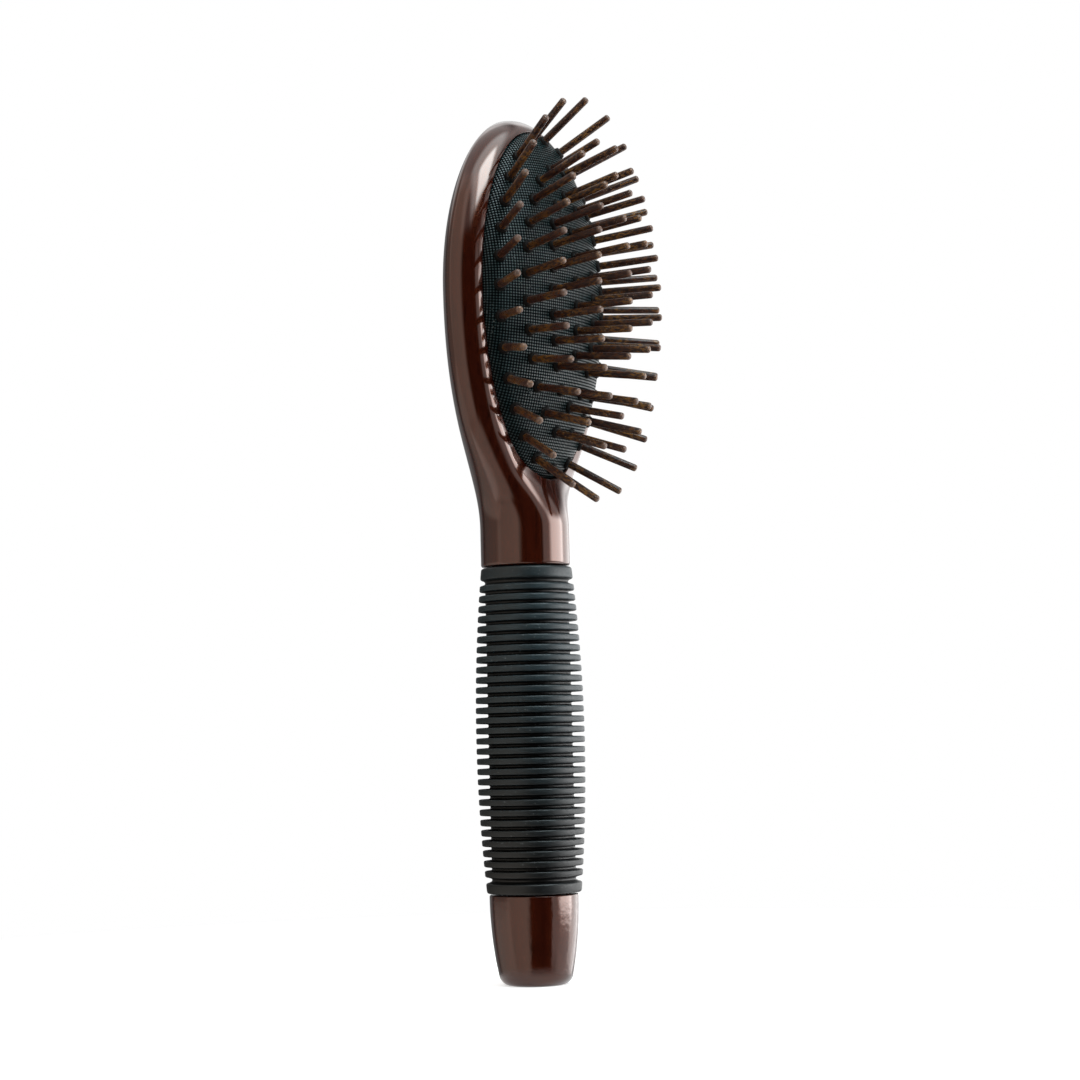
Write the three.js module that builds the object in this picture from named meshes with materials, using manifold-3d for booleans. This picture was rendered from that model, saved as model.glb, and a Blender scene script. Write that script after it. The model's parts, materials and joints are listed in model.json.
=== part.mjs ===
import * as THREE from 'three';
import { mergeVertices } from 'three/addons/utils/BufferGeometryUtils.js';
import Module from 'manifold-3d';

// Pin brush: a lacquered wooden body with an oval air cushion of wooden pins and a finned rubber grip.
// Millimetres. +Z runs along the handle, the pins face -Y, and the origin is the centre of the flat butt.

// Driving dimensions: shared
const FIT_GAP = 0.3;
const RING_POINTS = 40;
const CUSHION_POINTS = 32;
const TURNED_SIDES = 28;
const GRIP_SIDES = 20;

// Driving dimensions: handle
const BUTT_FLAT_RADIUS = 6.5;
const BUTT_EDGE_RADIUS = 3.0;
const BUTT_EDGE_TURN = THREE.MathUtils.degToRad(74);
const CAP_WAIST_RADIUS = 11.4;
const CAP_WAIST_Z = 11.4;
const CAP_TOP_RADIUS = 11.46;
const GRIP_BOTTOM_Z = 23.2;
const GRIP_TOP_Z = 106.0;
const GRIP_CORE_RADIUS = 10.7;
const GRIP_BELLY_RADIUS = 13.9;
const GRIP_BELLY_Z = 62.5;
const GRIP_BELLY_CURVE = 0.0012;
const FIN_COUNT = 29;
const FIN_THICKNESS = 1.5;
const FIN_FIRST_Z = 28.15;
const FIN_LAST_Z = 100.75;
const BOTTOM_RING_HEIGHT = 2.7;
const TOP_RING_HEIGHT = 3.1;
const NECK_RADIUS = 11.6;
const TANG_RADIUS = 6.8;
const TENON_RADIUS = 5.0;
const TENON_BOTTOM_Z = 10.0;

// Driving dimensions: head
const FLARE_START_Z = 116.0;
const EQUATOR_Z = 175.2;
const HEAD_TOP_Z = 222.4;
const HEAD_HALF_WIDTH = 32.8;
const FLARE_PULL_LOW = 13.3;
const FLARE_PULL_HIGH = 41.5;
const HEAD_FRONT = 7.1;
const HEAD_BACK = 12.0;
const LIP_SQUARENESS = 4.6;
const BACK_TAPER = 0.66;
const LIP_BLEND_END_Z = 136.0;

// Driving dimensions: cushion, its groove and the air space behind it
const CUSHION_HALF_WIDTH = 27.0;
const CUSHION_TOP_Z = 218.5;
const CUSHION_BOTTOM_Z = 128.6;
const CUSHION_UP = CUSHION_TOP_Z - EQUATOR_Z;
const CUSHION_DOWN = EQUATOR_Z - CUSHION_BOTTOM_Z;
const RIM_Y = -6.0;
const DOME_HEIGHT = 11.3;
const DOME_POWER = 0.66;
const MEMBRANE = 1.6;
const BEAD_WIDTH = 1.8;
const BEAD_TOP_Y = -4.4;
const BEAD_BOTTOM_Y = -2.4;
const AIR_FLOOR_Y = 1.0;
const MOUTH_FLARE = 1.6;

// Driving dimensions: pins
const PIN_LENGTH = 16.3;
const PIN_RADIUS = 0.97;
const PIN_TIP_RADIUS = 0.92;
const PIN_SIDES = 6;
const PIN_HEAD_RADIUS = 1.8;
const PIN_HEAD_HEIGHT = 1.0;
const PIN_HEAD_DROP = 0.9;
const HOLE_GAP = 0.4;
const HOLE_SIDES = 8;
const PIN_OVALS = [
  { name: 'outer', halfWidth: 24.4, inset: 2.4, perHalf: 14, shift: 0 },
  { name: 'second', halfWidth: 17.9, inset: 10.5, perHalf: 12, shift: 0.5 },
  { name: 'third', halfWidth: 9.8, inset: 17.7, perHalf: 10, shift: 0 },
];
const MIDDLE_ROW_COUNT = 6;
const MIDDLE_ROW_PITCH = 6.3;

// Materials
const lacquer = new THREE.MeshStandardMaterial({ color: 0x3a1a12, roughness: 0.15, metalness: 0 });
const gripRubber = new THREE.MeshStandardMaterial({ color: 0x2c3134, roughness: 0.55, metalness: 0 });
const cushionCloth = new THREE.MeshStandardMaterial({ color: 0x2f3a3a, roughness: 0.85, metalness: 0 });
const pinWood = new THREE.MeshStandardMaterial({ color: 0x5a3a26, roughness: 0.6, metalness: 0 });

// Solids
const wasm = await Module();
wasm.setup();

function toSolid(geometry) {
  const bare = geometry.clone();
  bare.deleteAttribute('normal');
  bare.deleteAttribute('uv');
  const welded = mergeVertices(bare, 1e-4);
  const corners = welded.index.array;
  const kept = [];
  for (let i = 0; i < corners.length; i += 3) {
    const [a, b, c] = [corners[i], corners[i + 1], corners[i + 2]];
    if (a !== b && b !== c && c !== a) kept.push(a, b, c);
  }
  return new wasm.Manifold(new wasm.Mesh({
    numProp: 3,
    vertProperties: Float32Array.from(welded.attributes.position.array),
    triVerts: Uint32Array.from(kept),
  }));
}

function toGeometry(solid) {
  const mesh = solid.getMesh();
  const geometry = new THREE.BufferGeometry();
  geometry.setAttribute('position', new THREE.BufferAttribute(mesh.vertProperties, 3));
  geometry.setIndex(new THREE.BufferAttribute(mesh.triVerts, 1));
  geometry.computeVertexNormals();
  return geometry;
}

// A loft skins a list of rings, each with the same number of points, and closes both ends with a fan.
function loft(rings) {
  const count = rings[0].length;
  const positions = [];
  const indices = [];
  for (const ring of rings) {
    for (const point of ring) positions.push(point.x, point.y, point.z);
  }
  for (let r = 0; r + 1 < rings.length; r += 1) {
    for (let i = 0; i < count; i += 1) {
      const next = (i + 1) % count;
      const [a, b] = [r * count + i, r * count + next];
      const [c, d] = [(r + 1) * count + i, (r + 1) * count + next];
      indices.push(a, b, d, a, d, c);
    }
  }
  const addCap = (ring, offset, reversed) => {
    const middle = ring.reduce((sum, point) => sum.add(point), new THREE.Vector3()).divideScalar(count);
    const centre = positions.length / 3;
    positions.push(middle.x, middle.y, middle.z);
    for (let i = 0; i < count; i += 1) {
      const [a, b] = [offset + i, offset + (i + 1) % count];
      if (reversed) indices.push(centre, b, a);
      else indices.push(centre, a, b);
    }
  };
  addCap(rings[0], 0, true);
  addCap(rings[rings.length - 1], (rings.length - 1) * count, false);
  const geometry = new THREE.BufferGeometry();
  geometry.setAttribute('position', new THREE.Float32BufferAttribute(positions, 3));
  geometry.setIndex(indices);
  geometry.computeVertexNormals();
  return geometry;
}

// A turned piece is a profile of [radius, z] pairs revolved about the handle's axis.
function turned(profile, sides = TURNED_SIDES) {
  const points = profile.map(([radius, z]) => new THREE.Vector2(radius, z));
  return new THREE.LatheGeometry(points, sides).rotateX(Math.PI / 2);
}

function addMesh(group, name, geometry, material) {
  const mesh = new THREE.Mesh(geometry, material);
  mesh.name = name;
  group.add(mesh);
  return mesh;
}

// Wooden body
// Each section has one half-width and its own depth at the front and at the back. The front is squared off
// for the lip. The back is a dome that thins towards the sides: a taper of 0.5 is a plain ellipse.
function bodySection({ z, halfWidth, front, back, frontPower, backTaper }) {
  const ring = [];
  for (let i = 0; i < RING_POINTS; i += 1) {
    const angle = (i / RING_POINTS) * 2 * Math.PI;
    const [c, s] = [Math.cos(angle), Math.sin(angle)];
    const isBack = s > 0;
    const x = isBack ? c : Math.sign(c) * Math.abs(c) ** (2 / frontPower);
    const y = isBack ? back * s ** (2 * backTaper) : -front * Math.abs(s) ** (2 / frontPower);
    ring.push(new THREE.Vector3(halfWidth * x, y, z));
  }
  return ring;
}

function roundSection(z, radius) {
  return bodySection({ z, halfWidth: radius, front: radius, back: radius, frontPower: 2, backTaper: 0.5 });
}

function headSection(z, halfWidth) {
  const blend = THREE.MathUtils.smoothstep(z, FLARE_START_Z, LIP_BLEND_END_Z);
  const rise = Math.max(0, (z - EQUATOR_Z) / (HEAD_TOP_Z - EQUATOR_Z));
  const frontClose = (1 - rise ** LIP_SQUARENESS) ** (1 / LIP_SQUARENESS);
  const backClose = (1 - rise ** 2) ** BACK_TAPER;
  return bodySection({
    z,
    halfWidth,
    front: THREE.MathUtils.lerp(NECK_RADIUS, HEAD_FRONT, blend) * frontClose,
    back: THREE.MathUtils.lerp(NECK_RADIUS, HEAD_BACK, blend) * backClose,
    frontPower: THREE.MathUtils.lerp(2, LIP_SQUARENESS, blend),
    backTaper: THREE.MathUtils.lerp(0.5, BACK_TAPER, blend),
  });
}

function bodyGeometry() {
  const neckZ = GRIP_TOP_Z + FIT_GAP;
  const capTopZ = GRIP_BOTTOM_Z - FIT_GAP;
  const rings = [
    roundSection(TENON_BOTTOM_Z, TENON_RADIUS - 0.6),
    roundSection(TENON_BOTTOM_Z + 0.6, TENON_RADIUS),
    roundSection(capTopZ + FIT_GAP, TENON_RADIUS),
    roundSection(capTopZ + FIT_GAP, TANG_RADIUS),
    roundSection(neckZ, TANG_RADIUS),
    roundSection(neckZ, NECK_RADIUS - 0.5),
    roundSection(neckZ + 0.5, NECK_RADIUS),
  ];
  const flare = new THREE.CubicBezierCurve(
    new THREE.Vector2(NECK_RADIUS, FLARE_START_Z),
    new THREE.Vector2(NECK_RADIUS, FLARE_START_Z + FLARE_PULL_LOW),
    new THREE.Vector2(HEAD_HALF_WIDTH, EQUATOR_Z - FLARE_PULL_HIGH),
    new THREE.Vector2(HEAD_HALF_WIDTH, EQUATOR_Z),
  );
  for (const point of flare.getPoints(12)) rings.push(headSection(point.y, point.x));
  const crownSteps = 10;
  for (let i = 1; i < crownSteps; i += 1) {
    const angle = (i / crownSteps) * (Math.PI / 2);
    const z = EQUATOR_Z + (HEAD_TOP_Z - EQUATOR_Z) * Math.sin(angle);
    rings.push(headSection(z, HEAD_HALF_WIDTH * Math.cos(angle)));
  }
  const lastAngle = Math.PI / 2 - 0.02;
  const lastZ = EQUATOR_Z + (HEAD_TOP_Z - EQUATOR_Z) * Math.sin(lastAngle);
  rings.push(headSection(lastZ, HEAD_HALF_WIDTH * Math.cos(lastAngle)));
  return loft(rings);
}

// Cushion outlines
// The cushion is an oval of two half ellipses that meet at the widest line of the head.
// Steps of a profile are [grow, y]: the oval is grown outward by "grow" at that depth.
function ovalRing(scale, grow, y, points = CUSHION_POINTS) {
  const ring = [];
  for (let i = 0; i < points; i += 1) {
    const angle = (i / points) * 2 * Math.PI;
    const [c, s] = [Math.cos(angle), Math.sin(angle)];
    const halfLength = s > 0 ? CUSHION_UP : CUSHION_DOWN;
    ring.push(new THREE.Vector3(
      (CUSHION_HALF_WIDTH * scale + grow) * c,
      y,
      EQUATOR_Z + (halfLength * scale + grow) * s,
    ));
  }
  return ring;
}

function recessGeometry() {
  const outsideY = -HEAD_FRONT - 6;
  const grooveTop = BEAD_TOP_Y - FIT_GAP;
  const grooveBottom = BEAD_BOTTOM_Y + FIT_GAP;
  const grooveGrow = BEAD_WIDTH + FIT_GAP;
  const steps = [
    [-MEMBRANE - BEAD_WIDTH, AIR_FLOOR_Y],
    [-MEMBRANE - BEAD_WIDTH, grooveBottom],
    [grooveGrow, grooveBottom],
    [grooveGrow, grooveTop],
    [FIT_GAP, grooveTop],
    [FIT_GAP, RIM_Y],
    [FIT_GAP + 0.35 * MOUTH_FLARE, RIM_Y - 0.6 * MOUTH_FLARE],
    [FIT_GAP + MOUTH_FLARE, RIM_Y - MOUTH_FLARE],
    [FIT_GAP + MOUTH_FLARE + 1.2, outsideY],
  ];
  return loft(steps.map(([grow, y]) => ovalRing(1, grow, y, RING_POINTS)));
}

// Cushion
function domeY(scale) {
  return RIM_Y - DOME_HEIGHT * (1 - scale ** 2) ** DOME_POWER;
}

function cushionGeometry() {
  const domeScales = [1, 0.98, 0.93, 0.84, 0.7, 0.5, 0.28, 0.08];
  const outer = domeScales.map((scale) => ovalRing(scale, 0, domeY(scale)));
  const inner = domeScales.map((scale) => ovalRing(scale, -MEMBRANE * scale, domeY(scale) + MEMBRANE));
  const bead = [
    ovalRing(1, -MEMBRANE, BEAD_BOTTOM_Y),
    ovalRing(1, BEAD_WIDTH, BEAD_BOTTOM_Y),
    ovalRing(1, BEAD_WIDTH, BEAD_TOP_Y),
    ovalRing(1, 0, BEAD_TOP_Y),
  ];
  return loft([...inner.reverse(), ...bead, ...outer]);
}

// A pin's seat is the point where its axis crosses the middle of the membrane, and the dome's normal there.
function pinSeat(x, dz) {
  const halfLength = dz > 0 ? CUSHION_UP : CUSHION_DOWN;
  const scale = Math.hypot(x / CUSHION_HALF_WIDTH, dz / halfLength);
  const slope = 2 * DOME_HEIGHT * DOME_POWER * (1 - scale ** 2) ** (DOME_POWER - 1);
  const normal = new THREE.Vector3(
    (slope * x) / CUSHION_HALF_WIDTH ** 2,
    -1,
    (slope * dz) / halfLength ** 2,
  ).normalize();
  const surface = new THREE.Vector3(x, domeY(scale), EQUATOR_Z + dz);
  return { position: surface.addScaledVector(normal, -MEMBRANE / 2), normal };
}

function ovalSeats({ halfWidth, inset, perHalf, shift }) {
  const upper = new THREE.EllipseCurve(0, 0, halfWidth, CUSHION_UP - inset, 0, Math.PI);
  const lower = new THREE.EllipseCurve(0, 0, halfWidth, CUSHION_DOWN - inset, Math.PI, 2 * Math.PI);
  const seats = [];
  for (const half of [upper, lower]) {
    for (let i = 0; i < perHalf; i += 1) {
      const point = half.getPointAt((i + shift) / perHalf);
      seats.push(pinSeat(point.x, point.y));
    }
  }
  return seats;
}

function middleRowSeats() {
  const seats = [];
  for (let i = 0; i < MIDDLE_ROW_COUNT; i += 1) {
    seats.push(pinSeat(0, (i - (MIDDLE_ROW_COUNT - 1) / 2) * MIDDLE_ROW_PITCH));
  }
  return seats;
}

function placeAtSeat(object, { position, normal }) {
  object.position.copy(position);
  object.quaternion.setFromUnitVectors(new THREE.Vector3(0, 1, 0), normal);
  object.updateMatrix();
  return object;
}

// Pins
// Heights are along the pin, from the middle of the membrane.
const PIN_TOP = MEMBRANE / 2 + PIN_LENGTH;
const PIN_NECK = -MEMBRANE / 2 - PIN_HEAD_DROP;
const PIN_STEM = [
  [PIN_TIP_RADIUS, PIN_TOP - PIN_TIP_RADIUS],
  [0.7 * PIN_TIP_RADIUS, PIN_TOP - 0.3 * PIN_TIP_RADIUS],
  [0, PIN_TOP],
];

function pinLathe(profile) {
  return new THREE.LatheGeometry(profile.map(([r, y]) => new THREE.Vector2(r, y)), PIN_SIDES);
}

const loosePin = pinLathe([
  [0, PIN_NECK - PIN_HEAD_HEIGHT],
  [PIN_HEAD_RADIUS, PIN_NECK - PIN_HEAD_HEIGHT],
  [PIN_HEAD_RADIUS, PIN_NECK],
  [PIN_RADIUS, PIN_NECK],
  ...PIN_STEM,
]);
const fixedPin = pinLathe([[0, 0], [PIN_RADIUS, 0], ...PIN_STEM]);
const pinHole = new THREE.CylinderGeometry(PIN_RADIUS + HOLE_GAP, PIN_RADIUS + HOLE_GAP, 8, HOLE_SIDES);

// Grip sleeve
function finRadius(z) {
  return GRIP_BELLY_RADIUS - GRIP_BELLY_CURVE * (z - GRIP_BELLY_Z) ** 2;
}

function gripProfile() {
  const bore = TANG_RADIUS + FIT_GAP;
  const bottomRing = GRIP_BOTTOM_Z + BOTTOM_RING_HEIGHT;
  const topRing = GRIP_TOP_Z - TOP_RING_HEIGHT;
  const profile = [
    [bore, GRIP_BOTTOM_Z],
    [finRadius(GRIP_BOTTOM_Z) - 0.6, GRIP_BOTTOM_Z],
    [finRadius(GRIP_BOTTOM_Z), GRIP_BOTTOM_Z + 0.7],
    [finRadius(bottomRing), bottomRing - 0.5],
    [finRadius(bottomRing) - 0.5, bottomRing],
    [GRIP_CORE_RADIUS, bottomRing],
  ];
  const pitch = (FIN_LAST_Z - FIN_FIRST_Z) / (FIN_COUNT - 1);
  for (let i = 0; i < FIN_COUNT; i += 1) {
    const z = FIN_FIRST_Z + i * pitch;
    const edge = finRadius(z);
    const half = FIN_THICKNESS / 2;
    profile.push([GRIP_CORE_RADIUS, z - half]);
    profile.push([edge - 0.5, z - half]);
    profile.push([edge, z]);
    profile.push([edge - 0.5, z + half]);
    profile.push([GRIP_CORE_RADIUS, z + half]);
  }
  profile.push([GRIP_CORE_RADIUS, topRing]);
  profile.push([finRadius(topRing) - 0.5, topRing]);
  profile.push([finRadius(topRing), topRing + 0.5]);
  profile.push([finRadius(GRIP_TOP_Z), GRIP_TOP_Z - 0.7]);
  profile.push([finRadius(GRIP_TOP_Z) - 0.6, GRIP_TOP_Z]);
  profile.push([bore, GRIP_TOP_Z]);
  profile.push([bore, GRIP_BOTTOM_Z]);
  return profile;
}

// End cap
function capProfile() {
  const topZ = GRIP_BOTTOM_Z - FIT_GAP;
  const socket = TENON_RADIUS + FIT_GAP;
  const socketFloor = TENON_BOTTOM_Z - FIT_GAP;
  const profile = [[0, 0], [BUTT_FLAT_RADIUS, 0]];
  const edgeSteps = 4;
  for (let i = 1; i < edgeSteps; i += 1) {
    const angle = (i / edgeSteps) * BUTT_EDGE_TURN;
    profile.push([
      BUTT_FLAT_RADIUS + BUTT_EDGE_RADIUS * Math.sin(angle),
      BUTT_EDGE_RADIUS * (1 - Math.cos(angle)),
    ]);
  }
  const edgeEnd = new THREE.Vector2(
    BUTT_FLAT_RADIUS + BUTT_EDGE_RADIUS * Math.sin(BUTT_EDGE_TURN),
    BUTT_EDGE_RADIUS * (1 - Math.cos(BUTT_EDGE_TURN)),
  );
  const waist = new THREE.Vector2(CAP_WAIST_RADIUS, CAP_WAIST_Z);
  const shoulder = new THREE.Vector2(CAP_TOP_RADIUS, topZ - 0.8);
  for (const point of new THREE.QuadraticBezierCurve(edgeEnd, waist, shoulder).getPoints(5)) {
    profile.push([point.x, point.y]);
  }
  profile.push([CAP_TOP_RADIUS - 0.6, topZ]);
  profile.push([socket, topZ]);
  profile.push([socket, socketFloor]);
  profile.push([0, socketFloor]);
  return profile;
}

// Assembly
const brush = new THREE.Group();
brush.name = 'pin_brush';

const body = toSolid(bodyGeometry()).subtract(toSolid(recessGeometry()));
addMesh(brush, 'wooden_body', toGeometry(body), lacquer);
addMesh(brush, 'end_cap', turned(capProfile()), lacquer);
addMesh(brush, 'grip_sleeve', turned(gripProfile(), GRIP_SIDES), gripRubber);

const [outerOval, ...innerOvals] = PIN_OVALS;
const rows = innerOvals.map((oval) => ({ name: oval.name, seats: ovalSeats(oval) }));
rows.push({ name: 'middle', seats: middleRowSeats() });

const seated = (geometry, seat) => {
  const placed = placeAtSeat(new THREE.Object3D(), seat);
  return toSolid(geometry.clone().applyMatrix4(placed.matrix));
};
const holes = rows.flatMap(({ seats }) => seats.map((seat) => seated(pinHole, seat)));
const fixedPins = ovalSeats(outerOval).map((seat) => seated(fixedPin, seat));
const membrane = toSolid(cushionGeometry()).subtract(wasm.Manifold.union(holes));
addMesh(brush, 'cushion', toGeometry(membrane.add(wasm.Manifold.union(fixedPins))), cushionCloth);

for (const { name, seats } of rows) {
  seats.forEach((seat, i) => {
    const number = String(i + 1).padStart(2, '0');
    placeAtSeat(addMesh(brush, `pin_${name}_${number}`, loosePin, pinWood), seat);
  });
}

export default brush;
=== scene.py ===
# %% [markdown]
# A pin brush, dressed for its picture
#
# The brush has a lacquered wooden head and neck, a domed air cushion with 78 wooden pins, a finned
# rubber grip and a turned end cap. The frame that is loaded here carries the exact sizes and the
# bodies that move; everything below is modelled in millimetres in that same frame, scaled to metres
# at the end, and tied to the body it belongs to.

# %% Load the frame and keep its box
import json
import math

import bmesh
import bpy
import numpy as np
from mathutils import Matrix, Vector

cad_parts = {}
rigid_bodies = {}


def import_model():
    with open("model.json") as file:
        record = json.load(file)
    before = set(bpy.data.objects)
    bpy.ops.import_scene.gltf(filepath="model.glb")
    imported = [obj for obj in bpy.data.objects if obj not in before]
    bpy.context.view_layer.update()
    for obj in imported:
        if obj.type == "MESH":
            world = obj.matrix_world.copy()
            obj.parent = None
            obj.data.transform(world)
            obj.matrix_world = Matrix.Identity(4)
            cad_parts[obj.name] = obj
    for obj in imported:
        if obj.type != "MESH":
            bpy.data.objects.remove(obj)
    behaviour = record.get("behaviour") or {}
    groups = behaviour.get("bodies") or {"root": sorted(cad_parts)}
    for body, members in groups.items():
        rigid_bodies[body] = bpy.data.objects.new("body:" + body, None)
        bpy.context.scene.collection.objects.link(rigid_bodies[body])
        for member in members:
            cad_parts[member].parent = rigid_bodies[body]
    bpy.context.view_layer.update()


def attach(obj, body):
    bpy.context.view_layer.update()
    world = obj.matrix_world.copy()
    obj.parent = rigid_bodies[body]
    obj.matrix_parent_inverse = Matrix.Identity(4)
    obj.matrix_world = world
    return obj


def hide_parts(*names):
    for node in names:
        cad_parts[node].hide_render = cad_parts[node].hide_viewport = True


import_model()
MM = 0.001

# %% [markdown]
# Camera
#
# The brush is seen from its left side, 58 degrees away from the way the pins point, from about the
# height of the middle of the grip and looking slightly up. A long lens keeps the handle's sides nearly
# parallel. The camera is turned in the order a tripod head turns: pan, tilt, then a small roll.

# %% Camera
CAMERA_PAN = math.radians(-58.0)
CAMERA_DISTANCE = 0.650
CAMERA_HEIGHT = 0.0611
CAMERA_AIM = math.radians(-0.328)
CAMERA_TILT = math.radians(4.578)
CAMERA_ROLL = math.radians(-1.479)
CAMERA_LENS = 84.45
SENSOR_WIDTH = 36.0

camera_data = bpy.data.cameras.new("studio_camera")
camera_data.sensor_width = SENSOR_WIDTH
camera_data.lens = CAMERA_LENS
camera = bpy.data.objects.new("studio_camera", camera_data)
bpy.context.scene.collection.objects.link(camera)
stand = Vector((math.sin(CAMERA_PAN), -math.cos(CAMERA_PAN), 0.0)) * CAMERA_DISTANCE
stand.z = CAMERA_HEIGHT
turn = (
    Matrix.Rotation(CAMERA_PAN + CAMERA_AIM, 4, "Z")
    @ Matrix.Rotation(math.radians(90.0) + CAMERA_TILT, 4, "X")
    @ Matrix.Rotation(CAMERA_ROLL, 4, "Z")
)
camera.matrix_world = Matrix.Translation(stand) @ turn
bpy.context.scene.camera = camera
bpy.context.scene.view_settings.view_transform = "Standard"
print("camera at", [round(v, 4) for v in stand])

# %% [markdown]
# Node helpers
#
# Every finish below is a small node tree. A few helpers keep the trees short to read: one adds a node
# and fills or links its inputs, one starts an empty material and hands back its tree, and two stand for
# nodes that are used again and again, a calculation and a change of range.

# %% Node helpers
def add_node(tree, kind, inputs=None, **settings):
    node = tree.nodes.new(kind)
    for name, value in settings.items():
        setattr(node, name, value)
    for key, value in (inputs or {}).items():
        if isinstance(value, bpy.types.NodeSocket):
            tree.links.new(value, node.inputs[key])
        else:
            node.inputs[key].default_value = value
    return node


def empty_material(name):
    material = bpy.data.materials.new(name)
    material.use_nodes = True
    material.node_tree.nodes.clear()
    return material, material.node_tree


def math_node(tree, operation, first, second=0.0):
    return add_node(tree, "ShaderNodeMath", {0: first, 1: second}, operation=operation).outputs[0]


def map_range(tree, value, start=0.0, end=1.0, first=0.0, last=1.0, smooth=False):
    ends = {0: value, 1: start, 2: end, 3: first, 4: last}
    kind = "SMOOTHSTEP" if smooth else "LINEAR"
    return add_node(tree, "ShaderNodeMapRange", ends, interpolation_type=kind).outputs[0]


print("ready: add_node, empty_material, math_node and map_range")

# %% [markdown]
# Floor, background and light
#
# The brush stands on a plain white floor in a white studio. The floor is an ordinary pale sheet that
# catches a faint shadow; what the camera sees of it far from the brush is plain white, so that no
# horizon shows. Gloss needs something dark to reflect between its lights, so the room is dim, and
# mirrored rays pass through the floor, except close to the foot of the brush, to panels below it.
# The softboxes are panels that fade at their edges, because a hard edge draws stripes on lacquer:
# wide warm ones on the left, a cool key with a halo round it high on the side of the pins, sheets
# overhead, a strong one level with the pins at their side, and weaker panels round that one, behind
# the pins and below the floor. The white sheet behind the brush is seen in the gloss too.

# %% White floor
FLOOR_RADIUS = 4.0
PAPER_GREY = (0.60, 0.60, 0.60, 1.0)
PAPER_LIFT = 0.66
LIFT_IN_GLOSS = 0.45
PLAIN_FROM, PLAIN_BY = 0.05, 0.28
FOOT_SEEN_TO, FOOT_GONE_BY = 0.0135, 0.021


def floor_finish():
    material, tree = empty_material("white_floor")
    place = add_node(tree, "ShaderNodeTexCoord").outputs["Object"]
    reach = add_node(tree, "ShaderNodeVectorMath", {0: place}, operation="LENGTH").outputs["Value"]
    rays = add_node(tree, "ShaderNodeLightPath").outputs
    seen = math_node(tree, "MAXIMUM", rays["Is Camera Ray"], rays["Is Transmission Ray"])
    in_gloss = math_node(tree, "MULTIPLY", rays["Is Glossy Ray"], LIFT_IN_GLOSS)
    lifted = math_node(tree, "MULTIPLY", math_node(tree, "MAXIMUM", seen, in_gloss), PAPER_LIFT)
    paper = add_node(tree, "ShaderNodeBsdfDiffuse", {"Color": PAPER_GREY})
    lift = add_node(tree, "ShaderNodeEmission", {"Strength": lifted})
    near = add_node(tree, "ShaderNodeAddShader", {0: paper.outputs[0], 1: lift.outputs[0]})
    plain = add_node(tree, "ShaderNodeEmission", {"Strength": 1.0})
    far = math_node(tree, "MULTIPLY", seen, map_range(tree, reach, PLAIN_FROM, PLAIN_BY))
    both = add_node(tree, "ShaderNodeMixShader", {0: far, 1: near.outputs[0], 2: plain.outputs[0]})
    past_foot = map_range(tree, reach, FOOT_SEEN_TO, FOOT_GONE_BY)
    mirrored = math_node(tree, "MULTIPLY", rays["Is Glossy Ray"], past_foot)
    passing = math_node(tree, "MAXIMUM", mirrored, rays["Is Shadow Ray"])
    clear = add_node(tree, "ShaderNodeBsdfTransparent")
    open_floor = add_node(
        tree, "ShaderNodeMixShader", {0: passing, 1: both.outputs[0], 2: clear.outputs[0]}
    )
    add_node(tree, "ShaderNodeOutputMaterial", {"Surface": open_floor.outputs[0]})
    return material


floor_bm = bmesh.new()
bmesh.ops.create_circle(floor_bm, cap_ends=True, segments=64, radius=FLOOR_RADIUS)
floor_mesh = bpy.data.meshes.new("studio_floor")
floor_bm.to_mesh(floor_mesh)
floor_bm.free()
floor = bpy.data.objects.new("studio_floor", floor_mesh)
bpy.context.scene.collection.objects.link(floor)
floor_mesh.materials.append(floor_finish())
print("floor: a white disc", 2 * FLOOR_RADIUS, "m across")

# %% White background, dim room
SHEET_PAN = CAMERA_PAN + math.radians(165.0)
SHEET_RISE = 0.08
SHEET_EDGE, SHEET_MIDDLE = 0.93, 0.985
SHEET_LEVEL = 1.1
ROOM_LEVEL = 0.02


def studio_world():
    world = bpy.data.worlds.new("studio")
    world.use_nodes = True
    tree = world.node_tree
    tree.nodes.clear()
    rays = add_node(tree, "ShaderNodeLightPath").outputs
    seen = math_node(tree, "MAXIMUM", rays["Is Camera Ray"], rays["Is Transmission Ray"])
    way = add_node(tree, "ShaderNodeTexCoord").outputs["Generated"]
    behind = (math.sin(SHEET_PAN), -math.cos(SHEET_PAN), SHEET_RISE)
    facing = add_node(tree, "ShaderNodeVectorMath", {0: way, 1: behind}, operation="DOT_PRODUCT")
    sheet = map_range(
        tree, facing.outputs["Value"], SHEET_EDGE, SHEET_MIDDLE, ROOM_LEVEL, SHEET_LEVEL
    )
    in_gloss = math_node(tree, "MULTIPLY", rays["Is Glossy Ray"], sheet)
    room = math_node(tree, "MAXIMUM", in_gloss, ROOM_LEVEL)
    level = math_node(tree, "MAXIMUM", seen, room)
    light = add_node(tree, "ShaderNodeBackground", {"Color": (1.0, 1.0, 1.0, 1.0), "Strength": level})
    add_node(tree, "ShaderNodeOutputWorld", {"Surface": light.outputs[0]})
    return world


bpy.context.scene.world = studio_world()
print("world: white to the camera, dim to the brush")

# %% One softbox
AIM_POINT = Vector((0.0, 0.0, 0.120))
FADE_FROM = 0.28
NEUTRAL = (1.0, 1.0, 1.0)
DAYLIGHT = (0.80, 0.96, 1.0)
WARM_WHITE = (1.0, 0.90, 0.80)


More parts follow.
